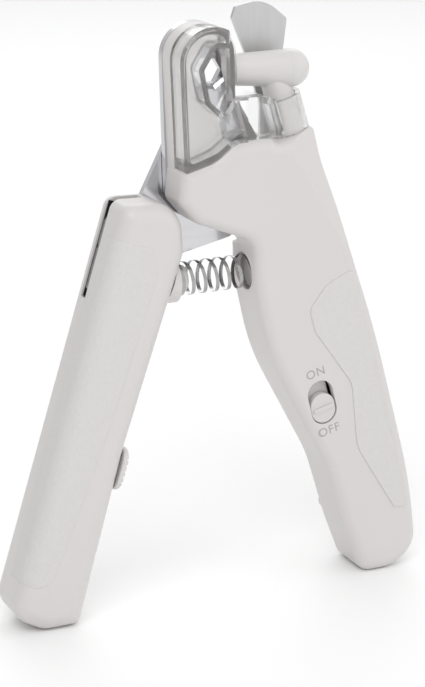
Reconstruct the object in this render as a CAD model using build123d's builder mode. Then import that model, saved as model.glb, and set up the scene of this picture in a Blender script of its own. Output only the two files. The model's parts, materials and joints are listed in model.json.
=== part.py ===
"""Pet nail trimmer: guillotine head, swivelling lamp, swinging guard and sprung lever handle."""
import os
from math import cos, hypot, radians, sin

from build123d import *

# Frame: X right, Y away from the front, Z up. The trimmer stands open on its two handle ends.

# ---- driving dimensions (mm) ----
half_depth = 8.0        # handles reach this far in front of and behind the middle plane
parting_y = -2.0        # parting plane of the right handle
lever_parting_y = 1.8   # parting plane of the left handle
wall = 1.8              # moulded walls
edge_round = 2.8        # soft outer edges of the handles
lever_round = 4.2       # front edges of the left handle
plate_thick = 2.0       # fixed cutting plate
blade_thick = 1.35      # sliding blade
blade_width = 8.0
lever_thick = 1.8       # steel lever
guard_thick = 1.0       # stop paddle
cover_front = 8.8       # front of the clear cover, ahead of the middle plane
lean = 16.5             # lean of the blade and of the lamp stem, degrees
arm = 14.5              # pivot to drive pin
closing = 26.0          # how far the left handle closes, degrees
pivot_r = 2.5
drive_pin_r = 1.5
hole_r = 3.4            # nail hole, across its corners / 2
collar_r = 5.15
collar_wall = 1.4
collar_high = 9.4
lamp_r = 4.7            # barrel at its round end
lamp_nose_r = 3.9       # barrel at its lens end
lamp_long = 19.4
spring_r = 4.7          # outside of the spring
spring_wire = 1.0
spring_turns = 6.5
switch_travel = 3.6
lock_travel = 4.0
inlay_deep = 0.6        # pocket of the grip inlays
inlay_proud = 0.25
inlay_edge = 0.2        # rounding of the pads' rims
screw_r = 1.25          # thread of the housing screws
screw_head_r = 2.2
screw_head_high = 0.8
screw_head_deep = 1.2   # recess below the back
boss_r = 2.8            # posts that the screws bite into
plate_screw_r = 1.0
plate_head_r = 1.8
plate_head_high = 0.7
guard_screw_r = 1.5
guard_head_r = 3.0
guard_head_high = 1.05
file_pin_r = 1.0

# ---- clearances ----
slip = 0.05             # running fits, on the radius
pin_fit = 0.07          # drive pin in the blade's slot, on the radius
gap = 0.2               # between plates that slide past each other
seat = 0.02             # between pieces that are fixed to each other
plate_gap = 0.1         # behind the blade, and round the steel tang in its cover

# ---- main places, (x, z) in the front view ----
hole = (1.2, 135.0)                     # nail hole
pin_drop = 28.0                         # drive pin below the nail hole at mid stroke
collar_foot = (22.0, 119.0)             # lamp stem's axis at the body
lamp_z = 134.8
guard_pivot = (20.0, 112.0)
spring_z = 84.5
switch_at = (28.4, 49.6)
switch_lean = 14.5

up = (-sin(radians(lean)), cos(radians(lean)))          # along the blade, upwards
across = (cos(radians(lean)), sin(radians(lean)))       # across the blade, to the right


def along(start, direction, distance):
    return (start[0] + direction[0] * distance, start[1] + direction[1] * distance)


def turned(point, centre, angle):
    c, s = cos(radians(angle)), sin(radians(angle))
    dx, dz = point[0] - centre[0], point[1] - centre[1]
    return (centre[0] + c * dx - s * dz, centre[1] + s * dx + c * dz)


pin_mid = along(hole, up, -pin_drop / up[1])
pivot = along(pin_mid, across, -arm)
pin_rest = turned(pin_mid, pivot, -closing / 2)
stroke = 2 * arm * sin(radians(closing / 2))
pin_drift = arm * (1 - cos(radians(closing / 2)))

# layers, from the middle plane to the back
plate_y = 2.4
lever_y = plate_y + plate_thick + gap
guard_gap = 0.3
guard_y = lever_y + lever_thick + guard_gap
blade_y = plate_y - plate_gap - blade_thick

# outlines in the front view: corner points and the radius of each corner
body_points = [(-9.7, 112.4), (-1.5, 114.6), (4.0, 118.8), (14.0, 119.0), (16.2, 117.3), (27.3, 120.6),
               (28.6, 112.0), (44.3, 66.2), (55.6, 24.0), (58.0, 4.0), (49.5, 0.0), (41.5, 0.0),
               (36.5, 13.0), (30.8, 31.5), (14.2, 62.5), (9.8, 82.0), (9.4, 93.6), (-6.0, 99.6),
               (-10.4, 105.0)]
body_radii = [0.8, 8, 6, 1, 1, 1.5, 30, 300, 150, 8, 5, 4, 40, 40, 60, 40, 5, 5, 2]
lever_points = [(-24.6, 105.9), (-9.8, 105.4), (-8.7, 93.0), (-25.5, 44.0), (-37.9, 0.0), (-47.5, 0.0),
                (-56.0, 5.0)]
lever_radii = [3, 8, 8, 80, 2.5, 6, 6]
arch_left, arch_right, arch_top, arch_r = -11.2, 5.9, 147.4, 8.3


def front_plane(y):
    """Plane facing the front at depth y; its x and y are the object's X and Z."""
    return Plane.XZ.offset(-y)


def disc(centre, radius, y_from, y_to, mode=Mode.ADD):
    """Round boss, hole or shaft along Y."""
    with BuildSketch(front_plane(y_to)) as round_face:
        with Locations(centre):
            Circle(radius)
    extrude(round_face.sketch, amount=y_to - y_from, mode=mode)


def slab(points, radii, y_from, y_to, mode=Mode.ADD, grow=0.0):
    """Plate of one outline between two depths, its outline moved out by grow."""
    with BuildSketch(front_plane(y_to)) as outline:
        with BuildLine():
            FilletPolyline(*points, radius=radii, close=True)
        make_face()
        if grow:
            offset(amount=grow, kind=Kind.INTERSECTION, mode=Mode.REPLACE)
    extrude(outline.sketch, amount=y_to - y_from, mode=mode)


def save(builder, name, middle_x):
    """Write one piece, its origin moved midway between the outer sides of the handles."""
    builder.part.move(Location((-middle_x, 0, 0)))
    builder.part.label = name
    export_step(builder.part, f"parts/{name}.step")


os.makedirs("parts", exist_ok=True)

# ---- right handle: housing halves ----
arch_points = [(arch_left, arch_top), (arch_right, arch_top), (6.4, 128.0), (13.6, 116.0), (-9.4, 108.0)]
arch_radii = [arch_r, arch_r, 6, 1, 1]
cavity_points = [(9.6, 96.0), (32.7, 100.0)] + body_points[7:16]
cavity_radii = [3, 3] + body_radii[7:16]
mouth_points = [(-4.6, 137.2), (-1.4, 142.2), (2.2, 142.2), (4.0, 139.0), (4.0, 131.0), (0.6, 126.2),
                (-3.0, 129.6)]
mouth_radii = [1, 1.5, 1, 1, 1, 0.8, 1]
screw_spots = [(24.5, 98.0), (24.0, 66.5), (38.6, 16.5)]
recess_right = 14.9       # the lever and the cutting plate lie left of this, behind the head
recess_low = 90.5
post_y = wall - half_depth - 0.3         # the posts start inside the front wall
thread_y = post_y + 0.7                  # foot of the threads' holes
screw_tip_y = thread_y + 0.4
pivot_end_y = parting_y + 1.0
rail = 1.2                # lips that carry the blade's front face
channel = blade_width / 2 + slip
window = blade_width / 2 - rail
knob_long, knob_wide = 8.0, 6.8         # ON/OFF knob
knob_gap = 0.2
slot_long = knob_long + switch_travel + 2 * knob_gap
slot_wide = knob_wide + 2 * knob_gap
shoulder = [(17.0, -half_depth, 119.0), (27.3, -collar_r / 2, 120.5), (31.5, -half_depth, 94.0)]     # facet
cup_r = spring_r + 0.5                  # cup that holds the spring's end
cup_x = 13.4
neck_y = guard_y - 0.15                 # back of the neck below the guard
neck_low = 103.0
blade_reach_low, blade_reach_high = 40.5, 5.5       # blade's slot, below and above the nail hole


def blade_slot(half_width, y_from, y_to):
    """Straight slot along the blade's path, from the nail hole down past the drive pin."""
    low = along(hole, up, -blade_reach_low)
    high = along(hole, up, blade_reach_high)
    corners = [along(low, across, -half_width), along(high, across, -half_width),
               along(high, across, half_width), along(low, across, half_width)]
    slab(corners, [0.3] * 4, y_from, y_to, Mode.SUBTRACT)


def switch_slot(long, wide, y_from, y_to, shift=0.0, mode=Mode.SUBTRACT):
    """Round-ended slot along the handle, shift moves it towards ON."""
    tilt = radians(switch_lean)
    centre = (switch_at[0] - sin(tilt) * shift, switch_at[1] + cos(tilt) * shift)
    with BuildSketch(front_plane(y_to)) as opening:
        with Locations(Location((centre[0], centre[1], 0), (0, 0, switch_lean))):
            SlotOverall(long, wide, rotation=90)
    extrude(opening.sketch, amount=y_to - y_from, mode=mode)


def facet_plane(points):
    """Plane through three points, facing the front."""
    first, second, third = (Vector(*point) for point in points)
    normal = (second - first).cross(third - first)
    if normal.Y > 0:
        normal = -normal
    return Plane(origin=first, z_dir=normal)


def spring_bore(radius, x_from, x_to, mode):
    """Round feature on the spring's axis."""
    with BuildSketch(Plane.YZ.offset(x_from)) as round_face:
        with Locations((0, spring_z)):
            Circle(radius)
    extrude(round_face.sketch, amount=x_to - x_from, mode=mode)


with BuildPart() as front_shell:
    slab(body_points, body_radii, -half_depth, parting_y)
    fillet(front_shell.faces().sort_by(Axis.Y)[0].edges(), edge_round)
    slab(cavity_points, cavity_radii, wall - half_depth, parting_y, Mode.SUBTRACT, grow=-wall)
    for spot in screw_spots:
        disc(spot, boss_r, post_y, parting_y)
        disc(spot, screw_r, thread_y, parting_y, Mode.SUBTRACT)
    switch_slot(slot_long, slot_wide, -half_depth, parting_y)
    spring_bore(cup_r, 0, cup_x, Mode.SUBTRACT)
    split(bisect_by=facet_plane(shoulder), keep=Keep.BOTTOM)

with BuildPart() as rear_shell:
    slab(body_points, body_radii, parting_y, half_depth)
    fillet(rear_shell.faces().sort_by(Axis.Y)[-1].edges(), edge_round)
    slab(cavity_points, cavity_radii, parting_y, half_depth - wall, Mode.SUBTRACT, grow=-wall)
    slab([(-30, 160), (recess_right, 160), (recess_right, recess_low), (-30, recess_low)], [0.5] * 4,
         plate_y, half_depth + 1, Mode.SUBTRACT)
    slab([(recess_right - 1, 160), (60, 160), (60, neck_low), (recess_right - 1, neck_low)], [0.5] * 4,
         neck_y, half_depth + 1, Mode.SUBTRACT)
    slab(arch_points, arch_radii, parting_y, plate_y)
    slab(mouth_points, mouth_radii, parting_y, plate_y, Mode.SUBTRACT)
    blade_slot(channel, blade_y - plate_gap, plate_y)
    blade_slot(window, parting_y, plate_y)
    disc(pivot, pivot_r + seat, pivot_end_y, plate_y, Mode.SUBTRACT)
    disc(guard_pivot, guard_screw_r + seat, 0, half_depth, Mode.SUBTRACT)
    for spot in screw_spots:
        disc(spot, boss_r, parting_y, half_depth - screw_head_deep / 2)
        disc(spot, screw_r + seat, parting_y, half_depth, Mode.SUBTRACT)
        disc(spot, screw_head_r + gap / 2, half_depth - screw_head_deep, half_depth, Mode.SUBTRACT)
    spring_bore(cup_r, 0, cup_x, Mode.SUBTRACT)

# ---- cutting plate, blade, clear cover and collar ----
plate_points = [(arch_left, arch_top), (arch_right, arch_top), (6.4, 128.0), (13.4, 118.0), (14.3, 95.0),
                (10.6, 94.6), (-5.4, 100.6), (-10.0, 105.6)]
plate_radii = [arch_r, arch_r, 6, 2, 2, 2, 4, 2]
plate_screw_spots = [(-6.2, 112.5), (12.2, 97.4)]
pin_side = drive_pin_r + 0.8             # half width of the opening that the drive pin moves in
pin_room = drive_pin_r + 0.5
plate_head_y = plate_y + plate_thick - plate_head_high
plate_screw_tip = 0.2

with BuildPart() as cutting_plate:
    slab(plate_points, plate_radii, plate_y, plate_y + plate_thick)
    with BuildSketch(front_plane(plate_y + plate_thick)):
        with Locations(hole):
            RegularPolygon(hole_r, 6)
    extrude(amount=plate_thick, mode=Mode.SUBTRACT)
    pin_low = along(pin_mid, up, -stroke / 2 - pin_room)
    pin_high = along(pin_mid, up, stroke / 2 + pin_room)
    pin_path = [along(pin_low, across, -pin_side), along(pin_high, across, -pin_side),
                along(pin_high, across, pin_side), along(pin_low, across, pin_side)]
    slab(pin_path, [pin_side - 0.2] * 4, plate_y, plate_y + plate_thick, Mode.SUBTRACT)
    disc(pivot, pivot_r + seat, plate_y, plate_y + plate_thick, Mode.SUBTRACT)
    for spot in plate_screw_spots:
        disc(spot, plate_screw_r + seat, plate_y, plate_y + plate_thick, Mode.SUBTRACT)
        disc(spot, plate_head_r + seat, plate_head_y - seat, plate_y + plate_thick, Mode.SUBTRACT)
with rear_shell:
    for spot in plate_screw_spots:
        disc(spot, plate_screw_r + seat, plate_screw_tip - gap / 2, plate_y, Mode.SUBTRACT)

blade_high, notch, grind = -2.2, 1.5, 0.7              # tip at rest, depth of its V and its bevel
blade_low = -pin_drop / up[1] - stroke / 2 - drive_pin_r - 2.5
slot_mid = along(hole, up, -pin_drop / up[1] - stroke / 2)
with BuildPart() as cutting_blade:
    tip_left = along(along(hole, up, blade_high), across, -blade_width / 2)
    tip_right = along(along(hole, up, blade_high), across, blade_width / 2)
    vee = along(hole, up, blade_high - notch)
    foot_left = along(along(hole, up, blade_low), across, -blade_width / 2)
    foot_right = along(along(hole, up, blade_low), across, blade_width / 2)
    with BuildSketch(front_plane(blade_y + blade_thick)):
        with BuildLine():
            Polyline(foot_left, tip_left, vee, tip_right, foot_right, close=True)
        make_face()
    extrude(amount=blade_thick)
    with BuildSketch(front_plane(blade_y + blade_thick)):
        with Locations(Location((*along(slot_mid, across, -pin_drift / 2), 0), (0, 0, lean))):
            SlotCenterToCenter(pin_drift + 2 * slip, 2 * (drive_pin_r + pin_fit))
    extrude(amount=blade_thick, mode=Mode.SUBTRACT)
    upper_edges = cutting_blade.faces().sort_by(Axis.Y)[0].edges().filter_by_position(Axis.Z, 125, 150)
    chamfer(upper_edges.filter_by(lambda e: e.length < blade_width * 0.75), grind)

flank_cut = [(0.9, -cover_front - 1), (12.0, -cover_front - 1), (12.0, -2.6), (arch_right - 1.0, -2.6)]
cover_low = [(x, z + slip) for x, z in reversed(body_points[:4])]
cover_points = [(arch_left, arch_top), (arch_right, arch_top), (6.6, 131.6), (15.2, 128.4),
                (18.0, 119.2)] + cover_low
cover_radii = [arch_r, arch_r, 2, 1, 1, 1, 6, 8, 0.8]
flank_low = 129.4           # the slanted flank ends above the bridge to the collar
catcher_wall = 1.8
catcher_points = [(arch_left + catcher_wall, arch_top - catcher_wall), (1.6, arch_top - catcher_wall),
                  (1.6, 124.0), (7.6, 121.4), (4.6, 121.0), (-0.9, 116.8), (-8.1, 114.5)]
catcher_radii = [6.5, 3, 1, 0.6, 4, 4, 1]
mouth_lip = 1.2
cover_bevel = 0.8
socket_r = 2.6            # hole below the collar, for the lamp's spigot
socket_deep = 4.0
collar_axis = Plane(origin=(collar_foot[0], 0, collar_foot[1]), x_dir=(across[0], 0, across[1]),
                    z_dir=(up[0], 0, up[1]))

with BuildPart() as clear_cover:
    slab(cover_points, cover_radii, -cover_front, parting_y)
    chamfer(clear_cover.faces().sort_by(Axis.Y)[0].edges(), cover_bevel)
    slab(catcher_points, catcher_radii, catcher_wall - cover_front, parting_y, Mode.SUBTRACT)
    slab(mouth_points, mouth_radii, catcher_wall / 2 - cover_front, parting_y, grow=mouth_lip)
    with BuildSketch(Plane.XY.offset(flank_low)):
        with BuildLine():
            Polyline(*flank_cut, close=True)
        make_face()
    extrude(amount=30, mode=Mode.SUBTRACT)
    with BuildSketch(Plane.XY.offset(100)):
        with BuildLine():
            Polyline((6.2, -cover_front - 1), (30, -cover_front - 1), (30, -6.2), (8.0, -6.2), close=True)
        make_face()
    extrude(amount=40, mode=Mode.SUBTRACT)
    slab(mouth_points, mouth_radii, -cover_front, parting_y, Mode.SUBTRACT)
    with BuildSketch(front_plane(-cover_front)):
        with BuildLine():
            FilletPolyline(*mouth_points, radius=mouth_radii, close=True)
        make_face()
        offset(amount=cover_bevel, kind=Kind.INTERSECTION, mode=Mode.REPLACE)
    extrude(amount=-cover_bevel, taper=45, mode=Mode.SUBTRACT)
    with BuildSketch(collar_axis.offset(-10)):
        Circle(collar_r + seat)
    extrude(amount=30, mode=Mode.SUBTRACT)

with BuildPart() as lamp_collar:
    with BuildSketch(collar_axis):
        Circle(collar_r)
        Circle(collar_r - collar_wall, mode=Mode.SUBTRACT)
    extrude(amount=collar_high)
    chamfer(lamp_collar.edges().filter_by(GeomType.CIRCLE).group_by(Axis.Z)[-1], 0.3)

for shell in (front_shell, rear_shell):
    with shell:
        with BuildSketch(collar_axis):
            Circle(socket_r)
        extrude(amount=-socket_deep, mode=Mode.SUBTRACT)
        with BuildSketch(collar_axis):
            Circle(collar_r + 1.5)
        extrude(amount=10, mode=Mode.SUBTRACT)

# ---- lamp ----
lamp_turn = 13.0                        # how far the barrel is swung towards the front
lamp_dir = (cos(radians(lamp_turn)), -sin(radians(lamp_turn)))
lamp_x = collar_foot[0] + up[0] / up[1] * (lamp_z - collar_foot[1])
nose_reach = 10.2                       # stem axis to the lens end
nose = (lamp_x - nose_reach * lamp_dir[0], -nose_reach * lamp_dir[1], lamp_z)
lamp_frame = Plane(origin=nose, x_dir=(lamp_dir[0], lamp_dir[1], 0), z_dir=(-lamp_dir[1], lamp_dir[0], 0))
lamp_edge = 0.6
lens_r = 3.0
lens_thick = 1.2
lens_sunk = 0.1
lens_edge = 0.4
led_r = 1.5
led_tip = 3.2                           # lens end to the tip of the light
led_flange = 5.4
lamp_deep = lens_thick + 5.0            # bore behind the lens end
stem_r = collar_r - collar_wall - slip
lamp_end = Plane(origin=nose, x_dir=(0, 0, 1), z_dir=(lamp_dir[0], lamp_dir[1], 0))


def lamp_ring(outer, start, end, mode=Mode.ADD):
    """Round piece on the barrel's axis, measured from the lens end."""
    with BuildSketch(lamp_end.offset(start)) as ring:
        Circle(outer)
    extrude(ring.sketch, amount=end - start, mode=mode)


with BuildPart() as lamp_barrel:
    with BuildSketch(lamp_frame):
        with BuildLine():
            Polyline((lamp_long - lamp_r, lamp_r), (lamp_edge, lamp_nose_r), (0, lamp_nose_r - lamp_edge),
                     (0, 0), (lamp_long, 0))
            RadiusArc((lamp_long, 0), (lamp_long - lamp_r, lamp_r), -lamp_r)
        make_face()
    revolve(axis=Axis(nose, (lamp_dir[0], lamp_dir[1], 0)))
    with BuildSketch(collar_axis.offset(slip)):
        Circle(stem_r)
    extrude(amount=(lamp_z - collar_foot[1]) / up[1] - 2)
    with BuildSketch(collar_axis.offset(-socket_deep + 0.5)):
        Circle(socket_r - slip)
    extrude(amount=socket_deep)
    lamp_ring(lens_r, 0, lamp_deep, Mode.SUBTRACT)

with BuildPart() as lamp_lens:
    lamp_ring(lens_r - seat, lens_sunk, lens_sunk + lens_thick)
    fillet(lamp_lens.edges().group_by(Axis.X)[0], lens_edge)

with BuildPart() as lamp_led:
    lamp_ring(led_r, led_tip, led_flange)
    lamp_ring(lens_r - seat, led_flange, lamp_deep - seat)
    fillet(lamp_led.faces().sort_by(Axis.X)[0].edges(), led_r * 0.8)

# ---- guard ----
guard_points = [(16.6, 108.6), (16.8, 126.0), (13.2, 137.9), (9.6, 146.6), (10.6, 149.4), (18.2, 150.9),
                (24.6, 145.6), (23.6, 137.9), (22.6, 126.0), (23.4, 108.6)]
guard_radii = [3.2, 20, 20, 1.2, 1, 9, 1.2, 20, 20, 3.2]
guard_slot = (4.4, 0.7)                 # screwdriver slot
guard_screw_tip = 1.0
guard_head_y = guard_y + guard_thick + slip
with BuildPart() as safety_guard:
    slab(guard_points, guard_radii, guard_y, guard_y + guard_thick)
    disc(guard_pivot, guard_screw_r + slip, guard_y, guard_y + guard_thick, Mode.SUBTRACT)

with BuildPart() as guard_screw:
    disc(guard_pivot, guard_screw_r, guard_screw_tip, guard_head_y)
    disc(guard_pivot, guard_head_r, guard_head_y, guard_head_y + guard_head_high)
    with BuildSketch(front_plane(guard_head_y + guard_head_high)):
        with Locations(guard_pivot):
            Rectangle(*guard_slot)
    extrude(amount=guard_head_high / 2, mode=Mode.SUBTRACT)
    fillet(guard_screw.faces().sort_by(Axis.Y)[-1].outer_wire().edges(), guard_head_high / 4)

# ---- lever ----
lever_plate_points = [(-30.5, 60.0), (-17.6, 101.5), (-7.6, 121.0), (-2.5, 119.5), (13.6, 108.0),
                      (13.6, 99.5), (8.5, 92.5), (-6.0, 89.3), (-12.8, 86.0), (-23.5, 57.5)]
lever_plate_radii = [2, 10, 2, 3, 3.5, 3, 2, 6, 6, 2]
tang_screws = [(-16.6, 92.0), (-25.8, 64.5)]
low_screw = (-43.5, 11.5)
with BuildPart() as lever_plate:
    slab(lever_plate_points, lever_plate_radii, lever_y, lever_y + lever_thick)
    disc(pivot, pivot_r + slip, lever_y, lever_y + lever_thick, Mode.SUBTRACT)
    disc(pin_rest, drive_pin_r + seat, lever_y, lever_y + lever_thick, Mode.SUBTRACT)
    for spot in tang_screws:
        disc(spot, screw_r + seat, lever_y, lever_y + lever_thick, Mode.SUBTRACT)

lever_back = lever_y + lever_thick
rivet_flange, rivet_high = 0.9, 0.25
with BuildPart() as drive_pin:
    disc(pin_rest, drive_pin_r, blade_y - slip, lever_back)
    disc(pin_rest, drive_pin_r + rivet_flange, lever_back, lever_back + rivet_high)

washer_r, washer_thick = 4.4, 0.5
with BuildPart() as pivot_washer:
    disc(pivot, washer_r, lever_back + slip, lever_back + slip + washer_thick)
    disc(pivot, pivot_r + seat, lever_y, half_depth, Mode.SUBTRACT)

pivot_head_r, pivot_head_high = 3.8, 1.5
socket_across, socket_depth = 1.5, 0.9   # hexagon in the pivot screw's head
pivot_head_y = lever_back + slip + washer_thick + seat
with BuildPart() as pivot_screw:
    disc(pivot, pivot_r, pivot_end_y + gap, pivot_head_y)
    disc(pivot, pivot_head_r, pivot_head_y, pivot_head_y + pivot_head_high)
    fillet(pivot_screw.faces().sort_by(Axis.Y)[-1].edges(), pivot_head_high * 0.4)
    with BuildSketch(front_plane(pivot_head_y + pivot_head_high)):
        with Locations(pivot):
            RegularPolygon(socket_across, 6)
    extrude(amount=socket_depth, mode=Mode.SUBTRACT)

with BuildPart() as plate_screws:
    for spot in plate_screw_spots:
        disc(spot, plate_screw_r, plate_screw_tip, plate_head_y)
        disc(spot, plate_head_r, plate_head_y, plate_y + plate_thick)

# ---- left handle: covers on the lever's tang ----
left_top, left_low = lever_points[0], lever_points[-1]
left_run = hypot(left_top[0] - left_low[0], left_top[1] - left_low[1])
down_left = ((left_low[0] - left_top[0]) / left_run, (left_low[1] - left_top[1]) / left_run)
inward = (-down_left[1], down_left[0])


def beside(run, inset):
    """Place on the left handle's outer side: run down from its top corner, inset into the handle."""
    return along(along(left_top, down_left, run), inward, inset)


file_pin_run, file_pin_inset = 6.6, 3.7
file_wide, file_end = 6.4, 23.6
file_thick = 1.6
file_y = 2.5
file_eye = 3.4             # the file's eye reaches this far above its pin
nick_run, nick_r = 5.5, 1.3              # thumb nick, below the pin
bay_y = lever_y - plate_gap              # back of the file's bay, where the tang's pocket starts
tang_back = lever_back + plate_gap
pad_y = half_depth - screw_head_deep + 0.4
file_pin_spot = beside(file_pin_run, file_pin_inset)
file_pin_bite = 2.0                      # length of the pin in each shell
bay_points = [beside(-4, -3), beside(25.0, -3), beside(25.0, 7.6), beside(-4, 7.6)]
lever_spots = tang_screws + [low_screw]
boss_pad_x = -9.4          # the spring's left end rests here
boss_flange_r = spring_r + 0.9
boss_root = 3.6            # the boss reaches back to the handle
boss_nose = 3.0            # and forward into the coil
spring_room = 0.3
spring_end_x = cup_x - 0.9
cup_lip = 3.6
lock_dir = (0.298, 0.9546)
lock_out = (0.9546, -0.298)
lock_y = -2.8
lock_foot = (-26.3, 41.0)
lock_long, lock_wide, lock_high = 11.0, 7.0, 1.5
lock_neck_long, lock_neck_wide = 4.0, 2.6
lock_grooves, lock_pitch, lock_groove = 5, 1.5, 0.5
lock_gap = 0.4            # the inner side is slightly hollow here


def lock_plane(out, shift=0.0):
    """Plane on the inner side of the left handle; its x runs up the handle, its y is depth."""
    spot = along(along(lock_foot, lock_out, out), lock_dir, shift)
    return Plane(origin=(spot[0], lock_y, spot[1]), x_dir=(lock_dir[0], 0, lock_dir[1]),
                 z_dir=(lock_out[0], 0, lock_out[1]))


with BuildPart() as lever_front_shell:
    slab(lever_points, lever_radii, -half_depth, lever_parting_y)
    fillet(lever_front_shell.faces().sort_by(Axis.Y)[0].edges(), lever_round)
    slab(lever_points, lever_radii, wall - half_depth, lever_parting_y, Mode.SUBTRACT, grow=-wall)
    for spot in lever_spots:
        boss_top = lever_parting_y if spot is low_screw else bay_y
        disc(spot, boss_r, post_y, boss_top)
        disc(spot, screw_r, thread_y, boss_top, Mode.SUBTRACT)
    with BuildSketch(lock_plane(-2 * wall)):
        SlotOverall(lock_neck_long + lock_travel + 2 * gap, lock_neck_wide + gap)
    extrude(amount=3 * wall, mode=Mode.SUBTRACT)

with BuildPart() as lever_rear_shell:
    slab(lever_points, lever_radii, lever_parting_y, half_depth)
    fillet(lever_rear_shell.faces().sort_by(Axis.Y)[-1].edges(), edge_round)
    slab(lever_points, lever_radii, lever_parting_y, tang_back, Mode.SUBTRACT, grow=-wall)
    disc(low_screw, boss_r, lever_parting_y, pad_y)
    for spot in lever_spots:
        disc(spot, boss_r, tang_back, pad_y)
        disc(spot, screw_r + seat, lever_parting_y, half_depth, Mode.SUBTRACT)
        disc(spot, screw_head_r + gap / 2, half_depth - screw_head_deep, half_depth, Mode.SUBTRACT)
    slab(lever_plate_points, lever_plate_radii, bay_y, tang_back, Mode.SUBTRACT, grow=plate_gap)
    slab(bay_points, [0.5] * 4, lever_parting_y, bay_y, Mode.SUBTRACT)

with BuildPart() as spring_boss:
    spring_bore(boss_flange_r, boss_pad_x - boss_root, boss_pad_x, Mode.ADD)
    spring_bore(spring_r - spring_wire - spring_room, boss_pad_x - boss_root, boss_pad_x + boss_nose,
                Mode.ADD)
    fillet(spring_boss.edges().sort_by(Axis.X)[-1], 0.8)
    slab(lever_points, lever_radii, -half_depth, half_depth, Mode.SUBTRACT, grow=seat)
    slab(lever_plate_points, lever_plate_radii, bay_y, half_depth, Mode.SUBTRACT, grow=plate_gap)

with BuildPart() as spring_cup:
    spring_bore(cup_r - seat, spring_end_x - cup_lip, cup_x, Mode.ADD)
    spring_bore(spring_r + gap / 2, spring_end_x - cup_lip - 1, spring_end_x + gap / 2, Mode.SUBTRACT)
    slab(body_points, body_radii, -half_depth, half_depth, Mode.INTERSECT)

spring_long = spring_end_x - boss_pad_x - spring_wire - 2 * slip      # between the end coils' middles
coil_r = spring_r - spring_wire / 2
with BuildPart() as return_spring:
    with BuildLine() as coil:
        Helix(pitch=spring_long / spring_turns, height=spring_long, radius=coil_r,
              center=(boss_pad_x + spring_wire / 2 + slip, 0, spring_z), direction=(1, 0, 0))
    with BuildSketch(Plane(origin=coil.line @ 0, z_dir=coil.line % 0)):
        Circle(spring_wire / 2)
    sweep(path=coil.line, is_frenet=True)

with BuildPart() as nail_file:
    corners = [beside(file_pin_run - file_eye, file_pin_inset - file_wide / 2),
               beside(file_end, file_pin_inset - file_wide / 2),
               beside(file_end - 2.5, file_pin_inset + file_wide / 2),
               beside(file_pin_run - file_eye, file_pin_inset + file_wide / 2)]
    slab(corners, [file_wide * 0.45, 0.8, 1.5, file_wide * 0.45], file_y, file_y + file_thick)
    disc(file_pin_spot, file_pin_r + slip, file_y, file_y + file_thick, Mode.SUBTRACT)
    disc(beside(file_pin_run + nick_run, -nick_r / 2), nick_r, file_y, file_y + file_thick, Mode.SUBTRACT)

with BuildPart() as file_pin:
    disc(file_pin_spot, file_pin_r, lever_parting_y - file_pin_bite, bay_y + file_pin_bite)

with lever_rear_shell:
    disc(file_pin_spot, file_pin_r + seat, 0, bay_y + file_pin_bite, Mode.SUBTRACT)
with lever_front_shell:
    disc(file_pin_spot, 2.2 * file_pin_r, post_y, lever_parting_y)
    disc(file_pin_spot, file_pin_r + seat, lever_parting_y - file_pin_bite, lever_parting_y, Mode.SUBTRACT)

with BuildPart() as lock_slider:
    with BuildSketch(lock_plane(lock_gap, -lock_travel / 2)):
        SlotOverall(lock_long, lock_wide)
    extrude(amount=lock_high)
    fillet(lock_slider.faces().sort_by(Axis.X)[-1].edges(), lock_groove)
    with BuildSketch(lock_plane(lock_gap + lock_high, -lock_travel / 2)):
        with GridLocations(lock_pitch, 0, lock_grooves, 1):
            Rectangle(lock_pitch * 0.4, lock_wide)
    extrude(amount=-lock_groove, mode=Mode.SUBTRACT)
    with BuildSketch(lock_plane(lock_gap + seat, -lock_travel / 2)):
        SlotOverall(lock_neck_long, lock_neck_wide)
    extrude(amount=-wall - 3 * lock_gap)
    with BuildSketch(lock_plane(-wall - lock_gap, -lock_travel / 2)):
        Rectangle(lock_neck_long + 2.0, lock_neck_wide + 2.6)
    extrude(amount=-1.0)

# ---- grips ----
right_grip_points = [(36.6, 84.0), (29.0, 80.5), (24.3, 74.5), (26.0, 68.5), (36.8, 53.5), (38.6, 36.0),
                     (50.0, 17.5), (53.6, 17.0), (52.4, 24.0), (41.0, 67.0)]
right_grip_radii = [1.5, 6, 3, 3, 8, 12, 0.6, 1, 20, 60]
left_grip_points = [(-49.6, 14.6), (-46.4, 14.0), (-42.5, 22.0), (-29.5, 54.0), (-17.6, 88.0), (-19.0, 95.0),
                    (-25.4, 94.2)]
left_grip_radii = [1, 2, 10, 40, 6, 2, 2]


def inlay(points, radii, mode, shrink=0.0):
    """Grip pad let into the front face, or its pocket."""
    proud = inlay_proud if mode is Mode.ADD else 0
    slab(points, radii, -half_depth - proud, inlay_deep - half_depth, mode, grow=-shrink)


with BuildPart() as right_grip:
    inlay(right_grip_points, right_grip_radii, Mode.ADD, seat)
    fillet(right_grip.faces().sort_by(Axis.Y)[0].edges(), inlay_edge)
with BuildPart() as lever_grip:
    inlay(left_grip_points, left_grip_radii, Mode.ADD, seat)
    fillet(lever_grip.faces().sort_by(Axis.Y)[0].edges(), inlay_edge)
with front_shell:
    inlay(right_grip_points, right_grip_radii, Mode.SUBTRACT)
with lever_front_shell:
    inlay(left_grip_points, left_grip_radii, Mode.SUBTRACT)

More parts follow.
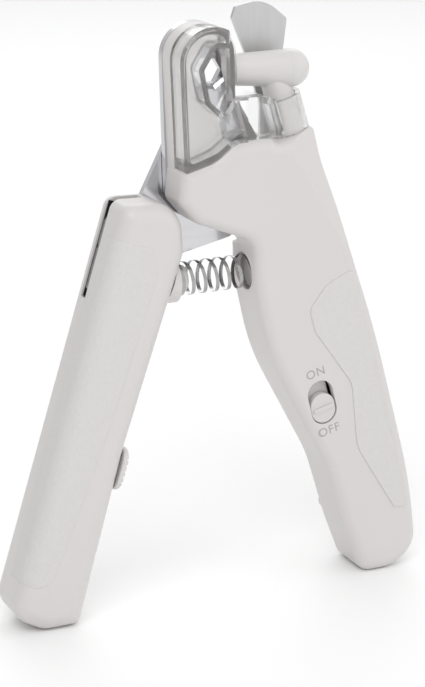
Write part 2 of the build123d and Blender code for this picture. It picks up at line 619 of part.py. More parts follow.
# ---- switch, board and cells ----
knob_low = -switch_travel / 2            # the knob rests at the OFF end
knob_sunk = 0.3
knob_under = wall - half_depth + 0.4
knob_rib = 1.0
board_y = parting_y + 0.6
board_thick, board_wide, board_long, board_shift = 1.2, 7.6, 15.0, (0.8, 1.5)
body_wide, body_long = 6.4, 10.4
cell_r, cell_long, cells = 5.5, 5.4, 3
cell_gap = 0.1                           # between cells, and between a cell and its contact
cap_high, cap_step = 0.4, 1.2
contact_wide, contact_high, contact_thick = 9.0, 7.0, 0.5
door_wide, door_long, door_thick = 12.0, 19.0, 1.2


def handle_spot(shift, tilt=switch_lean):
    """Place along the right handle, measured up from the switch; its y runs up the handle."""
    x = switch_at[0] - sin(radians(tilt)) * shift
    z = switch_at[1] + cos(radians(tilt)) * shift
    return Location((x, z, 0), (0, 0, tilt))


with BuildPart() as switch_knob:
    switch_slot(knob_long, knob_wide, knob_sunk - half_depth, knob_under, knob_low, Mode.ADD)
    fillet(switch_knob.faces().sort_by(Axis.Y)[0].edges(), 0.25)
    with BuildSketch(front_plane(2 * knob_sunk - half_depth)):
        with Locations(handle_spot(knob_low)):
            Rectangle(knob_wide - 1.4, knob_rib)
    extrude(amount=2 * knob_sunk + 0.1)

with BuildPart() as circuit_board:
    with BuildSketch(front_plane(board_y + board_thick)):
        with Locations(handle_spot(board_shift[1])):
            with Locations((board_shift[0], 0)):
                RectangleRounded(board_wide, board_long, 1.0)
    extrude(amount=board_thick)

with BuildPart() as switch_body:
    with BuildSketch(front_plane(board_y)):
        with Locations(handle_spot(0)):
            Rectangle(body_wide, body_long)
    extrude(amount=board_y - knob_under - gap)
    chamfer(switch_body.faces().sort_by(Axis.Y)[0].edges(), 0.3)

stack_lean = 10.5
stack_at = (40.6, 30.0)                  # middle of the cell stack
stack_up = (-sin(radians(stack_lean)), cos(radians(stack_lean)))


def stack_plane(shift):
    """Plane across the cell stack, shift up from its middle."""
    spot = along(stack_at, stack_up, shift)
    return Plane(origin=(spot[0], 0, spot[1]), x_dir=(0, 1, 0), z_dir=(stack_up[0], 0, stack_up[1]))


with BuildPart() as battery_cells:
    for number in range(cells):
        start = (number - cells / 2) * cell_long
        with BuildSketch(stack_plane(start + cell_gap)):
            Circle(cell_r)
        extrude(amount=cell_long - cap_high - 2 * cell_gap)
        with BuildSketch(stack_plane(start + cell_long - cap_high - cell_gap)):
            Circle(cell_r - cap_step)
        extrude(amount=cap_high)

with BuildPart() as battery_contacts:
    for side in (1, -1):
        with BuildSketch(stack_plane(side * (cells / 2 * cell_long + cell_gap))):
            Rectangle(contact_wide, contact_high)
        extrude(amount=contact_thick * side)

door_gap = 0.12
door_ledge = 1.0


def door_block(wide, long, y_from, y_to, mode):
    with BuildSketch(front_plane(y_to)) as panel:
        with Locations(Location((stack_at[0], stack_at[1], 0), (0, 0, stack_lean))):
            RectangleRounded(wide, long, 1.5)
    extrude(panel.sketch, amount=y_to - y_from, mode=mode)


with rear_shell:
    door_block(door_wide + 2 * door_gap, door_long + 2 * door_gap, half_depth - door_thick, half_depth + 1,
               Mode.SUBTRACT)
    door_block(door_wide - 2 * door_ledge, door_long - 2 * door_ledge, half_depth - 2 * wall, half_depth,
               Mode.SUBTRACT)
with BuildPart() as battery_door:
    door_block(door_wide, door_long, half_depth - door_thick + seat, half_depth - slip, Mode.ADD)
    fillet(battery_door.faces().sort_by(Axis.Y)[-1].edges(), 0.3)
    with BuildSketch(front_plane(half_depth)):
        with Locations(Location((*along(stack_at, stack_up, door_long / 4), 0), (0, 0, stack_lean))):
            with GridLocations(0, 1.6, 1, 3):
                Rectangle(door_wide / 2, 0.6)
    extrude(amount=0.35, mode=Mode.SUBTRACT)

screw_head_y = half_depth - screw_head_deep + seat
with BuildPart() as shell_screws:
    for spot in screw_spots:
        disc(spot, screw_r, screw_tip_y, screw_head_y)
        disc(spot, screw_head_r, screw_head_y, screw_head_y + screw_head_high)
with BuildPart() as lever_screws:
    for spot in lever_spots:
        disc(spot, screw_r, screw_tip_y, screw_head_y)
        disc(spot, screw_head_r, screw_head_y, screw_head_y + screw_head_high)

pieces = {
    "front_shell": front_shell, "rear_shell": rear_shell, "right_grip": right_grip,
    "cutting_plate": cutting_plate, "cutting_blade": cutting_blade, "clear_cover": clear_cover,
    "lamp_collar": lamp_collar, "lamp_barrel": lamp_barrel, "lamp_lens": lamp_lens, "lamp_led": lamp_led,
    "safety_guard": safety_guard, "guard_screw": guard_screw, "pivot_screw": pivot_screw,
    "pivot_washer": pivot_washer, "plate_screws": plate_screws, "drive_pin": drive_pin,
    "lever_plate": lever_plate, "lever_front_shell": lever_front_shell, "lever_rear_shell": lever_rear_shell,
    "lever_grip": lever_grip, "lever_screws": lever_screws, "spring_boss": spring_boss,
    "spring_cup": spring_cup, "return_spring": return_spring, "nail_file": nail_file, "file_pin": file_pin,
    "lock_slider": lock_slider, "switch_knob": switch_knob, "switch_body": switch_body,
    "circuit_board": circuit_board, "battery_cells": battery_cells, "battery_contacts": battery_contacts,
    "battery_door": battery_door, "shell_screws": shell_screws,
}
left_side = lever_front_shell.part.bounding_box().min.X
right_side = front_shell.part.bounding_box().max.X
for piece_name, builder in pieces.items():
    save(builder, piece_name, (left_side + right_side) / 2)
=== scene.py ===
import bpy
import bmesh
import json
from math import atan2, cos, pi, radians, sin
from mathutils import Matrix, Vector


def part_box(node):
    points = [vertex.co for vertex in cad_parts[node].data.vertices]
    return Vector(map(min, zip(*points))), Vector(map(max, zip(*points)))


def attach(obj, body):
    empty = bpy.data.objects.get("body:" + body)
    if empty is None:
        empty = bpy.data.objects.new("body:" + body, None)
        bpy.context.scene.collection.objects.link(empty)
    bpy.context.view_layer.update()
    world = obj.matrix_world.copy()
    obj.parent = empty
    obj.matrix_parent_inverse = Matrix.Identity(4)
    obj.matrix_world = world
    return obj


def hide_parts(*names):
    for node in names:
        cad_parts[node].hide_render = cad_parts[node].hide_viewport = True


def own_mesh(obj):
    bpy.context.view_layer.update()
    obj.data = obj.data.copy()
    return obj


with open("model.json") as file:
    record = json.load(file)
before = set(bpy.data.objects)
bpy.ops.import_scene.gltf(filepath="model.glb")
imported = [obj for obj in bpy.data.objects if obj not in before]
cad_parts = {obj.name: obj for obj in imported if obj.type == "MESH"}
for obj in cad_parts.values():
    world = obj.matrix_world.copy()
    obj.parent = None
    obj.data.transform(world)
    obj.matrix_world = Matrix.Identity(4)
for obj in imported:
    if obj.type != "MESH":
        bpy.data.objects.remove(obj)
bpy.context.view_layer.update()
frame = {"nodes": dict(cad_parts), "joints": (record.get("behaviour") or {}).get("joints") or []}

scene = bpy.context.scene
scene.view_settings.view_transform = "Standard"
mm = 0.001


# camera, lights and floor
studio = {
    "targetFromPivot": (5.71 * mm, -5.5 * mm, -36.28 * mm),
    "distance": 0.56,
    "azimuth": 25.0,            # the camera stands to the front left
    "elevation": 17.5,
    "lens": 117.4,
    "sensorWidth": 36,
    "lights": {                 # place, size and power
        "keyLight": ((-0.45, -0.55, 0.85), (0.7, 0.5), 3.4),
        "fillLight": ((0.85, -0.5, 0.45), (0.6, 0.8), 0.6),
        "rimLight": ((0.3, 0.8, 0.7), (0.8, 0.5), 1.7),
    },
    "lightsAimAt": (0, 0, 0.07),
    "flag": (-0.95, 0.1, 0.42, 0.93),     # dark side of the dome, as direction and brightness
    "floorSize": 24.0,
    "floorTone": 0.95,
    "floorRoughness": 0.55,
    "floorSpecular": 0.25,
}


def makeCamera(values):
    turn, lift = radians(values["azimuth"]), radians(values["elevation"])
    offset = Vector((-sin(turn) * cos(lift), -cos(turn) * cos(lift), sin(lift))) * values["distance"]
    pivot = next(joint for joint in frame["joints"] if joint["name"] == "lever_pivot")
    target = Vector(pivot["pos_m"]) + Vector(values["targetFromPivot"])
    data = bpy.data.cameras.new("camera")
    data.lens = values["lens"]
    data.sensor_width = values["sensorWidth"]
    data.clip_start = 0.01
    camera = bpy.data.objects.new("camera", data)
    scene.collection.objects.link(camera)
    camera.location = target + offset
    camera.rotation_euler = (-offset).to_track_quat("-Z", "Y").to_euler()
    scene.camera = camera


def areaLight(name, place, size, power, aim):
    data = bpy.data.lights.new(name, "AREA")
    data.shape = "RECTANGLE"
    data.size, data.size_y = size
    data.energy = power
    light = bpy.data.objects.new(name, data)
    scene.collection.objects.link(light)
    light.location = place
    light.rotation_euler = (Vector(aim) - Vector(place)).to_track_quat("-Z", "Y").to_euler()


def makeWorld(values):
    # a pale dome with a darker side on the left, which gives the steel and the clear parts their contrast
    world = bpy.data.worlds.new("studioWorld")
    scene.world = world
    world.use_nodes = True
    tree = world.node_tree
    background = tree.nodes["Background"]
    background.inputs["Color"].default_value = (1, 1, 1, 1)
    direction = tree.nodes.new("ShaderNodeTexCoord")
    split = tree.nodes.new("ShaderNodeSeparateXYZ")
    tree.links.new(direction.outputs["Generated"], split.inputs["Vector"])
    flag = tree.nodes.new("ShaderNodeMapRange")
    flag.interpolation_type = "SMOOTHSTEP"
    for label, value in zip(("From Min", "From Max", "To Min", "To Max"), values["flag"]):
        flag.inputs[label].default_value = value
    tree.links.new(split.outputs["X"], flag.inputs["Value"])
    tree.links.new(flag.outputs["Result"], background.inputs["Strength"])


def makeStudio(values):
    makeCamera(values)
    for name, (place, size, power) in values["lights"].items():
        areaLight(name, place, size, power, values["lightsAimAt"])
    makeWorld(values)
    bpy.ops.object.select_all(action="DESELECT")
    bpy.ops.mesh.primitive_plane_add(size=values["floorSize"], location=(0, 0, 0))
    floor = bpy.context.active_object
    floor.name = "floor"
    finish = bpy.data.materials.new("floorPaper")
    finish.use_nodes = True
    shader = finish.node_tree.nodes["Principled BSDF"]
    shader.inputs["Base Color"].default_value = (*[values["floorTone"]] * 3, 1)
    shader.inputs["Roughness"].default_value = values["floorRoughness"]
    shader.inputs["Specular IOR Level"].default_value = values["floorSpecular"]
    floor.data.materials.append(finish)


makeStudio(studio)
print("studio ready")


# shared effects, as node groups
def newGroup(name, inputs, outputs):
    group = bpy.data.node_groups.new(name, "ShaderNodeTree")
    for label, kind, value in inputs:
        socket = group.interface.new_socket(label, in_out="INPUT", socket_type=kind)
        socket.default_value = value
    for label, kind in outputs:
        group.interface.new_socket(label, in_out="OUTPUT", socket_type=kind)
    return group, group.nodes.new("NodeGroupInput"), group.nodes.new("NodeGroupOutput")


def addNode(tree, kind, **settings):
    node = tree.nodes.new(kind)
    for key, value in settings.items():
        if hasattr(node, key) and key not in node.inputs:
            setattr(node, key, value)
        else:
            node.inputs[key].default_value = value
    return node


def mathNode(tree, operation, first, second):
    node = tree.nodes.new("ShaderNodeMath")
    node.operation = operation
    for index, value in enumerate((first, second)):
        if isinstance(value, (int, float)):
            node.inputs[index].default_value = value
        else:
            tree.links.new(value, node.inputs[index])
    return node.outputs[0]


def objectCoordinates(tree, scale=(1, 1, 1)):
    coordinates = tree.nodes.new("ShaderNodeTexCoord")
    mapping = tree.nodes.new("ShaderNodeMapping")
    mapping.inputs["Scale"].default_value = scale
    tree.links.new(coordinates.outputs["Object"], mapping.inputs["Vector"])
    return mapping.outputs["Vector"]


finishOutputs = [(label, "NodeSocketFloat") for label in ("Tone", "Roughness", "Height")]
grainRoughness = 0.12           # how far the moulded grain shifts the roughness
brushTone = 0.12                # how far the scratches shift the colour


def makeMouldGroup():
    # fine spark-eroded grain and slow tone drift of moulded plastic
    inputs = [("Vector", "NodeSocketVector", (0, 0, 0)), ("Grain Scale", "NodeSocketFloat", 2500.0),
              ("Tone Depth", "NodeSocketFloat", 0.03), ("Roughness", "NodeSocketFloat", 0.4)]
    group, start, end = newGroup("mouldedFinish", inputs, finishOutputs)
    links = group.links
    slow = addNode(group, "ShaderNodeTexNoise", Scale=35.0, Detail=2.0)
    fine = addNode(group, "ShaderNodeTexNoise", Detail=3.0, Roughness=0.6)
    links.new(start.outputs["Vector"], slow.inputs["Vector"])
    links.new(start.outputs["Vector"], fine.inputs["Vector"])
    links.new(start.outputs["Grain Scale"], fine.inputs["Scale"])
    drift = mathNode(group, "SUBTRACT", slow.outputs["Fac"], 0.5)
    tone = mathNode(group, "MULTIPLY", drift, start.outputs["Tone Depth"])
    links.new(mathNode(group, "ADD", tone, 1.0), end.inputs["Tone"])
    grain = mathNode(group, "SUBTRACT", fine.outputs["Fac"], 0.5)
    rough = mathNode(group, "MULTIPLY", grain, grainRoughness)
    links.new(mathNode(group, "ADD", rough, start.outputs["Roughness"]), end.inputs["Roughness"])
    links.new(fine.outputs["Fac"], end.inputs["Height"])
    return group


def makeBrushGroup():
    # long fine scratches left by a belt
    inputs = [("Vector", "NodeSocketVector", (0, 0, 0)), ("Roughness", "NodeSocketFloat", 0.3),
              ("Spread", "NodeSocketFloat", 0.15)]
    group, start, end = newGroup("brushedLines", inputs, finishOutputs)
    lines = addNode(group, "ShaderNodeTexNoise", Scale=900.0, Detail=4.0, Roughness=0.7)
    clouds = addNode(group, "ShaderNodeTexNoise", Scale=60.0, Detail=2.0)
    for noise in (lines, clouds):
        group.links.new(start.outputs["Vector"], noise.inputs["Vector"])
    scratch = mathNode(group, "SUBTRACT", lines.outputs["Fac"], 0.5)
    cloud = mathNode(group, "SUBTRACT", clouds.outputs["Fac"], 0.5)
    tone = mathNode(group, "MULTIPLY", mathNode(group, "ADD", scratch, cloud), brushTone)
    group.links.new(mathNode(group, "ADD", tone, 1.0), end.inputs["Tone"])
    rough = mathNode(group, "MULTIPLY", scratch, start.outputs["Spread"])
    group.links.new(mathNode(group, "ADD", rough, start.outputs["Roughness"]), end.inputs["Roughness"])
    group.links.new(lines.outputs["Fac"], end.inputs["Height"])
    return group


mouldGroup = makeMouldGroup()
brushGroup = makeBrushGroup()


def startMaterial(name):
    material = bpy.data.materials.new(name)
    material.use_nodes = True
    tree = material.node_tree
    return material, tree, tree.nodes["Principled BSDF"]


def tintByTone(tree, shader, colour, tone):
    # the group's tone brightens or darkens the base colour
    mix = tree.nodes.new("ShaderNodeVectorMath")
    mix.operation = "SCALE"
    mix.inputs[0].default_value = colour
    tree.links.new(tone, mix.inputs["Scale"])
    tree.links.new(mix.outputs["Vector"], shader.inputs["Base Color"])


def addBump(tree, shader, height, strength, distance):
    bump = tree.nodes.new("ShaderNodeBump")
    bump.inputs["Strength"].default_value = strength
    bump.inputs["Distance"].default_value = distance
    tree.links.new(height, bump.inputs["Height"])
    tree.links.new(bump.outputs["Normal"], shader.inputs["Normal"])


mouldLook = {"grain": 2500.0, "tone": 0.03, "grainDepth": 0.04 * mm, "coatRoughness": 0.2}
brushDepth = 0.03 * mm
clearLook = {
    "grain": 180.0,
    "tone": 0.02,
    "bump": 0.05,
    "bumpDepth": 0.1 * mm,
    "ior": 1.4,
    "coat": 0.6,
    "coatRoughness": 0.03,
    "shadow": 0.06,             # share of the light that the clear parts hold back
}
gripLook = {
    "pebbles": 1700.0,
    "clouds": 700.0,
    "cloudShare": 0.8,
    "tone": (1.04, -0.05),      # lightest tone, and how it falls with height
    "bump": 0.45,
    "bumpDepth": 0.1 * mm,
    "roughness": 0.62,
}


def plastic(name, colour, roughness=0.4, bump=0.12, coat=0.0):
    material, tree, shader = startMaterial(name)
    group = addNode(tree, "ShaderNodeGroup", node_tree=mouldGroup)
    tree.links.new(objectCoordinates(tree), group.inputs["Vector"])
    group.inputs["Grain Scale"].default_value = mouldLook["grain"]
    group.inputs["Tone Depth"].default_value = mouldLook["tone"]
    group.inputs["Roughness"].default_value = roughness
    tintByTone(tree, shader, colour, group.outputs["Tone"])
    tree.links.new(group.outputs["Roughness"], shader.inputs["Roughness"])
    addBump(tree, shader, group.outputs["Height"], bump, mouldLook["grainDepth"])
    shader.inputs["Coat Weight"].default_value = coat
    shader.inputs["Coat Roughness"].default_value = mouldLook["coatRoughness"]
    return material


def metal(name, colour, roughness, spread=0.15, stretch=(1, 1, 12), bump=0.05):
    material, tree, shader = startMaterial(name)
    group = addNode(tree, "ShaderNodeGroup", node_tree=brushGroup)
    tree.links.new(objectCoordinates(tree, stretch), group.inputs["Vector"])
    group.inputs["Roughness"].default_value = roughness
    group.inputs["Spread"].default_value = spread
    tintByTone(tree, shader, colour, group.outputs["Tone"])
    tree.links.new(group.outputs["Roughness"], shader.inputs["Roughness"])
    addBump(tree, shader, group.outputs["Height"], bump, brushDepth)
    shader.inputs["Metallic"].default_value = 1.0
    return material


def clearPlastic(name, colour, roughness=0.0, body=0.88):
    material, tree, shader = startMaterial(name)
    group = addNode(tree, "ShaderNodeGroup", node_tree=mouldGroup)
    tree.links.new(objectCoordinates(tree), group.inputs["Vector"])
    group.inputs["Grain Scale"].default_value = clearLook["grain"]
    group.inputs["Tone Depth"].default_value = clearLook["tone"]
    group.inputs["Roughness"].default_value = roughness
    tintByTone(tree, shader, colour, group.outputs["Tone"])
    addBump(tree, shader, group.outputs["Height"], clearLook["bump"], clearLook["bumpDepth"])
    shader.inputs["Roughness"].default_value = roughness
    shader.inputs["Transmission Weight"].default_value = 1.0
    shader.inputs["IOR"].default_value = clearLook["ior"]
    shader.inputs["Coat Weight"].default_value = clearLook["coat"]
    shader.inputs["Coat Roughness"].default_value = clearLook["coatRoughness"]
    # body is how solid the part looks; shadows see it almost empty
    rays = tree.nodes.new("ShaderNodeLightPath")
    blocked = mathNode(tree, "MULTIPLY", rays.outputs["Is Shadow Ray"], body - clearLook["shadow"])
    tree.links.new(mathNode(tree, "SUBTRACT", body, blocked), shader.inputs["Alpha"])
    return material


def gripMaterial(name, colour):
    # pebbled texture moulded into the grip
    material, tree, shader = startMaterial(name)
    vector = objectCoordinates(tree)
    pebbles = addNode(tree, "ShaderNodeTexVoronoi", Scale=gripLook["pebbles"], feature="SMOOTH_F1")
    clouds = addNode(tree, "ShaderNodeTexNoise", Scale=gripLook["clouds"], Detail=3.0)
    for texture in (pebbles, clouds):
        tree.links.new(vector, texture.inputs["Vector"])
    cloudy = mathNode(tree, "MULTIPLY", clouds.outputs["Fac"], gripLook["cloudShare"])
    height = mathNode(tree, "ADD", pebbles.outputs["Distance"], cloudy)
    lightest, fall = gripLook["tone"]
    tone = mathNode(tree, "ADD", mathNode(tree, "MULTIPLY", height, fall), lightest)
    tintByTone(tree, shader, colour, tone)
    addBump(tree, shader, height, gripLook["bump"], gripLook["bumpDepth"])
    shader.inputs["Roughness"].default_value = gripLook["roughness"]
    return material


finishes = {
    "whitePlastic": plastic("whitePlastic", (0.645, 0.625, 0.617), roughness=0.38, coat=0.08),
    "lampWhite": plastic("lampWhite", (0.655, 0.638, 0.628), roughness=0.3, bump=0.05, coat=0.15),
    "grip": gripMaterial("gripWhite", (0.645, 0.63, 0.624)),
    "polishedSteel": metal("polishedSteel", (0.66, 0.66, 0.68), 0.16, spread=0.08),
    "plateSteel": metal("plateSteel", (0.6, 0.6, 0.62), 0.2, spread=0.1),
    "guardSteel": metal("guardSteel", (0.62, 0.62, 0.62), 0.42, spread=0.2, stretch=(12, 1, 1)),
    "springSteel": metal("springSteel", (0.42, 0.42, 0.42), 0.2, spread=0.1, stretch=(1, 1, 1)),
    "fileSteel": metal("fileSteel", (0.36, 0.36, 0.37), 0.4, spread=0.3, stretch=(1, 1, 1), bump=0.4),
    "zincSteel": metal("zincSteel", (0.5, 0.5, 0.52), 0.3, stretch=(1, 1, 1)),
    "clear": clearPlastic("clearPlastic", (0.985, 0.99, 0.99)),
    "clearCollar": clearPlastic("clearCollar", (0.98, 0.985, 0.985)),
    "lens": clearPlastic("lensPlastic", (0.99, 0.99, 0.98), 0.08, body=0.9),
    "led": clearPlastic("ledResin", (0.95, 0.94, 0.82), 0.1, body=0.95),
    "board": plastic("boardGreen", (0.03, 0.16, 0.07), roughness=0.3),
    # painted shade: the black of the sheet that stands in for the shade in the file slot
    "dark": plastic("paintedShadeBlack", (0.012, 0.012, 0.013), roughness=0.5),
    "cell": metal("cellSteel", (0.62, 0.61, 0.58), 0.3, stretch=(1, 1, 1)),
}
print("materials ready")

# which CAD nodes take which finish
nodeFinish = {
    "whitePlastic": ["front_shell", "rear_shell", "lever_front_shell", "lever_rear_shell", "spring_boss",
                     "spring_cup", "lock_slider", "switch_knob", "switch_body", "battery_door"],
    "grip": ["right_grip", "lever_grip"],
    "polishedSteel": ["cutting_blade", "lever_plate"],
    "plateSteel": ["cutting_plate"],
    "guardSteel": ["safety_guard"],
    "springSteel": ["return_spring", "battery_contacts"],
    "fileSteel": ["nail_file"],
    "zincSteel": ["guard_screw", "pivot_screw", "pivot_washer", "plate_screws", "drive_pin", "lever_screws",
                  "file_pin", "shell_screws"],
    "clear": ["clear_cover"],
    "clearCollar": ["lamp_collar"],
    "lens": ["lamp_lens"],
    "led": ["lamp_led"],
    "board": ["circuit_board"],
    "cell": ["battery_cells"],
    "lampWhite": ["lamp_barrel"],
}


def paint(piece, material):
    piece.data.materials.clear()
    piece.data.materials.append(material)
    for polygon in piece.data.polygons:
        polygon.material_index = 0


for finishName, nodeNames in nodeFinish.items():
    for nodeName in nodeNames:
        paint(frame["nodes"][nodeName], finishes[finishName])
print("nodes painted")

# return spring: a wound coil with closed end turns
returnSpring = {
    "wireRadius": 0.5 * mm,
    "turns": 7.5,
    "stepsPerTurn": 40,
    "wireSides": 14,
    "closedTurns": 0.8,         # flat turns at each end
    "flatPitch": 2.1,           # pitch of a flat turn, in wire radii
    "smoothAngle": radians(50),
    "closing": 0.5,             # share of its length left when the handles close
}


def makeReturnSpring(values):
    low, high = (Vector(corner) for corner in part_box("return_spring"))
    centre = (low + high) / 2
    wire = values["wireRadius"]
    coilRadius = (high.z - low.z) / 2 - wire
    length = high.x - low.x - 2 * wire
    bpy.ops.object.select_all(action="DESELECT")
    bpy.ops.mesh.primitive_circle_add(vertices=values["wireSides"], radius=wire,
                                      location=(0, coilRadius, 0), rotation=(0, pi / 2, 0))
    piece = bpy.context.active_object
    piece.name = "woundSpring"
    bpy.ops.object.transform_apply(location=True, rotation=True, scale=True)
    bpy.ops.object.mode_set(mode="EDIT")
    bpy.ops.mesh.select_all(action="SELECT")
    bpy.ops.transform.rotate(value=pi / 2, orient_axis="Z", center_override=(0, coilRadius, 0))
    bpy.ops.object.mode_set(mode="OBJECT")
    screw = piece.modifiers.new("winding", "SCREW")
    screw.axis = "X"
    screw.angle = values["turns"] * 2 * pi
    screw.screw_offset = length
    screw.iterations = 1
    screw.steps = screw.render_steps = int(values["turns"] * values["stepsPerTurn"])
    bpy.ops.object.modifier_apply(modifier=screw.name)
    closeEndTurns(piece, values, length, wire)
    bpy.ops.object.mode_set(mode="EDIT")
    bpy.ops.mesh.select_all(action="DESELECT")
    bpy.ops.mesh.select_non_manifold()
    bpy.ops.mesh.edge_face_add()
    bpy.ops.mesh.select_all(action="SELECT")
    bpy.ops.mesh.normals_make_consistent(inside=False)
    bpy.ops.object.mode_set(mode="OBJECT")
    piece.location = (low.x + wire, centre.y, centre.z)
    bpy.ops.object.transform_apply(location=True, rotation=True, scale=True)
    bpy.ops.object.shade_smooth_by_angle(angle=values["smoothAngle"])
    piece.data.materials.append(finishes["springSteel"])
    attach(piece, "right_handle")
    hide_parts("return_spring")
    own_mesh(piece)


def closeEndTurns(piece, values, length, wire):
    # the winding is even so far; the end turns are laid flat and the working turns share the rest
    closed, turns = values["closedTurns"], values["turns"]
    flat = closed * values["flatPitch"] * wire
    for vertex in piece.data.vertices:
        angle = atan2(vertex.co.z, vertex.co.y) % (2 * pi) / (2 * pi)
        turn = round(vertex.co.x / length * turns - angle) + angle
        away = vertex.co.x - turn / turns * length
        if turn < closed:
            middle = flat * turn / closed
        elif turn > turns - closed:
            middle = length - flat * (turns - turn) / closed
        else:
            middle = flat + (length - 2 * flat) * (turn - closed) / (turns - 2 * closed)
        vertex.co.x = middle + away


makeReturnSpring(returnSpring)
print("spring wound")


# switch lettering, filled with grey paint
switchLettering = {
    "words": {"switchLetteringOn": ("ON", 8.3 * mm), "switchLetteringOff": ("OFF", -8.1 * mm)},
    "letterSize": 3.3 * mm,
    "letterSpacing": 1.12,
    "knobToMiddle": 1.8 * mm,   # from the knob at OFF to the middle of its slot
    "lean": radians(-14.5),     # the handle's lean at the switch
    "thick": 0.04 * mm,
    "sunk": 0.02 * mm,
}


def makeLettering(values):
    letterPaint = plastic("letterPaint", (0.36, 0.355, 0.35), roughness=0.5, bump=0.05)
    low, high = (Vector(corner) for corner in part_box("switch_knob"))
    slotCentre = Vector(((low.x + high.x) / 2, 0, (low.z + high.z) / 2))
    upHandle = Vector((sin(values["lean"]), 0, cos(values["lean"])))
    slotCentre += upHandle * values["knobToMiddle"]
    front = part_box("front_shell")[0][1]
    for pieceName, (word, shift) in values["words"].items():
        bpy.ops.object.select_all(action="DESELECT")
        bpy.ops.object.text_add(location=(0, 0, 0))
        piece = bpy.context.active_object
        piece.data.body = word
        piece.data.size = values["letterSize"]
        piece.data.align_x = "CENTER"
        piece.data.align_y = "CENTER"
        piece.data.space_character = values["letterSpacing"]
        piece.data.extrude = values["thick"] / 2
        bpy.ops.object.convert(target="MESH")
        piece = bpy.context.active_object
        piece.name = pieceName
        place = slotCentre + upHandle * shift
        place.y = front + values["sunk"] - values["thick"] / 2
        piece.matrix_world = (Matrix.Translation(place) @ Matrix.Rotation(values["lean"], 4, "Y")
                              @ Matrix.Rotation(pi / 2, 4, "X"))
        bpy.ops.object.transform_apply(location=True, rotation=True, scale=True)
        piece.data.materials.clear()
        piece.data.materials.append(letterPaint)
        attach(piece, "right_handle")


makeLettering(switchLettering)
print("lettering made")


# pieces laid out along the outer side of the left handle
leftHandle = {
    "lean": atan2(31.4, 100.9),     # slope of the outer side
    "pinInset": 3.7 * mm,           # the file's pin, measured into the handle from its outer side
}


def handlePoint(along, inset, depth):
    # along runs down the handle from the file's pin, inset goes in from the outer side, depth is Y
    low, high = (Vector(corner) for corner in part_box("file_pin"))
    lean = leftHandle["lean"]
    inward = inset - leftHandle["pinInset"]
    return Vector(((low.x + high.x) / 2 - sin(lean) * along + cos(lean) * inward, depth,
                   (low.z + high.z) / 2 - cos(lean) * along - sin(lean) * inward))


# painted shade in the file slot: where the black sheet lies
fileSlotPaintedShade = {
    "start": -6.0 * mm,         # above and below the file's pin
    "end": 18.2 * mm,
    "insets": (0.5 * mm, 7.5 * mm),
    "depths": (1.9 * mm, 4.45 * mm),
    "wall": 0.25 * mm,
}


def makeFileSlotPaintedShade(values):
    # painted shade: a thin black sheet round the folding file that stands in for the shade in its slot,
    # open to the outer side and at the top
    bpy.ops.object.select_all(action="DESELECT")
    bpy.ops.mesh.primitive_cube_add(size=1, location=(0.5, 0.5, 0.5))
    piece = bpy.context.active_object
    piece.name = "fileSlotPaintedShade"
    bpy.ops.object.transform_apply(location=True, rotation=True, scale=True)
    bpy.ops.object.mode_set(mode="EDIT")
    bpy.ops.mesh.select_mode(type="FACE")
    mesh = bmesh.from_edit_mesh(piece.data)
    for face in mesh.faces:
        face.select = face.normal.x < -0.5 or face.normal.z > 0.5
    bmesh.update_edit_mesh(piece.data)
    bpy.ops.mesh.delete(type="FACE")
    bpy.ops.object.mode_set(mode="OBJECT")
    (insetLow, insetHigh), (depthLow, depthHigh) = values["insets"], values["depths"]
    for vertex in piece.data.vertices:
        x, y, z = vertex.co
        vertex.co = handlePoint(values["end"] + (values["start"] - values["end"]) * z,
                                insetLow + (insetHigh - insetLow) * x,
                                depthLow + (depthHigh - depthLow) * y)
    wall = piece.modifiers.new("wall", "SOLIDIFY")
    wall.thickness = values["wall"]
    wall.offset = -1
    bpy.ops.object.modifier_apply(modifier=wall.name)
    # painted shade: the sheet is black because the file slot only holds shade there
    piece.data.materials.append(finishes["dark"])
    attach(piece, "lever")


makeFileSlotPaintedShade(fileSlotPaintedShade)
# the black sheet in the file slot is painted shade
print("file slot painted shade made")


# textured palm grip, wrapped round the outer edge of the left handle
palmGrip = {
    # in mm: down the handle from the file's pin, and how far in the grip reaches on the front
    "edge": [(1.6, 8.8), (2.6, 10.2), (4.6, 11.6), (8.4, 12.6), (44.4, 11.3), (78.8, 8.4), (87.6, 7.1),
             (89.2, 5.8), (90.0, 3.6)],
    "rows": 90,
    "columns": 26,
    "sideDepth": 1.2 * mm,      # the grip ends here on the outer side, short of the parting line
    "cornerRadius": 4.2 * mm,
    "proud": 0.12 * mm,
    "thick": 0.5 * mm,
    "rimWidth": 0.12 * mm,
    "rimSegments": 2,
    "rimAngle": radians(50),
    "smoothAngle": radians(40),
}


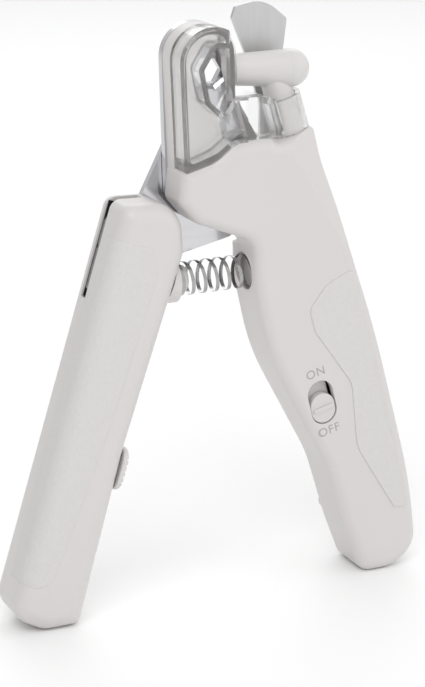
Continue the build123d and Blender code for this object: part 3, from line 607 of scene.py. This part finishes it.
def gripReach(values, along):
    # how far in from the outer side the front edge of the grip lies
    edge = values["edge"]
    for (startAlong, startInset), (endAlong, endInset) in zip(edge, edge[1:]):
        if along <= endAlong:
            share = (along - startAlong) / (endAlong - startAlong)
            share = min(max(share, 0.0), 1.0)
            return startInset + (endInset - startInset) * share
    return edge[-1][1]


def aroundCorner(values, walked, front):
    # inset and depth after walking from the outer side's end, round the corner, along the front
    radius, proud = values["cornerRadius"], values["proud"]
    side = values["sideDepth"] - (front + radius)
    arc = (radius + proud) * pi / 2
    if walked < side:
        return -proud, values["sideDepth"] - walked
    if walked < side + arc:
        angle = (walked - side) / (radius + proud)
        return radius - (radius + proud) * cos(angle), front + radius - (radius + proud) * sin(angle)
    return radius + walked - side - arc, front - proud


def makePalmGrip(values):
    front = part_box("lever_front_shell")[0][1]
    bpy.ops.object.select_all(action="DESELECT")
    bpy.ops.mesh.primitive_grid_add(x_subdivisions=values["columns"], y_subdivisions=values["rows"], size=2)
    piece = bpy.context.active_object
    piece.name = "palmGrip"
    radius, proud = values["cornerRadius"], values["proud"]
    first, last = values["edge"][0][0], values["edge"][-1][0]
    for vertex in piece.data.vertices:
        across, down = (vertex.co.x + 1) / 2, (1 - vertex.co.y) / 2
        along = first + (last - first) * down
        reach = gripReach(values, along) * mm
        straight = values["sideDepth"] - (front + radius)
        whole = straight + (radius + proud) * pi / 2 + reach - radius
        inset, depth = aroundCorner(values, across * whole, front)
        vertex.co = handlePoint(along * mm, inset, depth)
    wall = piece.modifiers.new("wall", "SOLIDIFY")
    wall.thickness = values["thick"]
    wall.offset = -1
    bpy.ops.object.modifier_apply(modifier=wall.name)
    bpy.ops.object.mode_set(mode="EDIT")
    bpy.ops.mesh.select_all(action="SELECT")
    bpy.ops.mesh.normals_make_consistent(inside=False)
    bpy.ops.object.mode_set(mode="OBJECT")
    rim = piece.modifiers.new("rim", "BEVEL")
    rim.width = values["rimWidth"]
    rim.segments = values["rimSegments"]
    rim.angle_limit = values["rimAngle"]
    bpy.ops.object.modifier_apply(modifier=rim.name)
    bpy.ops.object.shade_smooth_by_angle(angle=values["smoothAngle"])
    piece.data.materials.append(finishes["grip"])
    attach(piece, "lever")
    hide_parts("lever_grip")


makePalmGrip(palmGrip)
print("palm grip made")
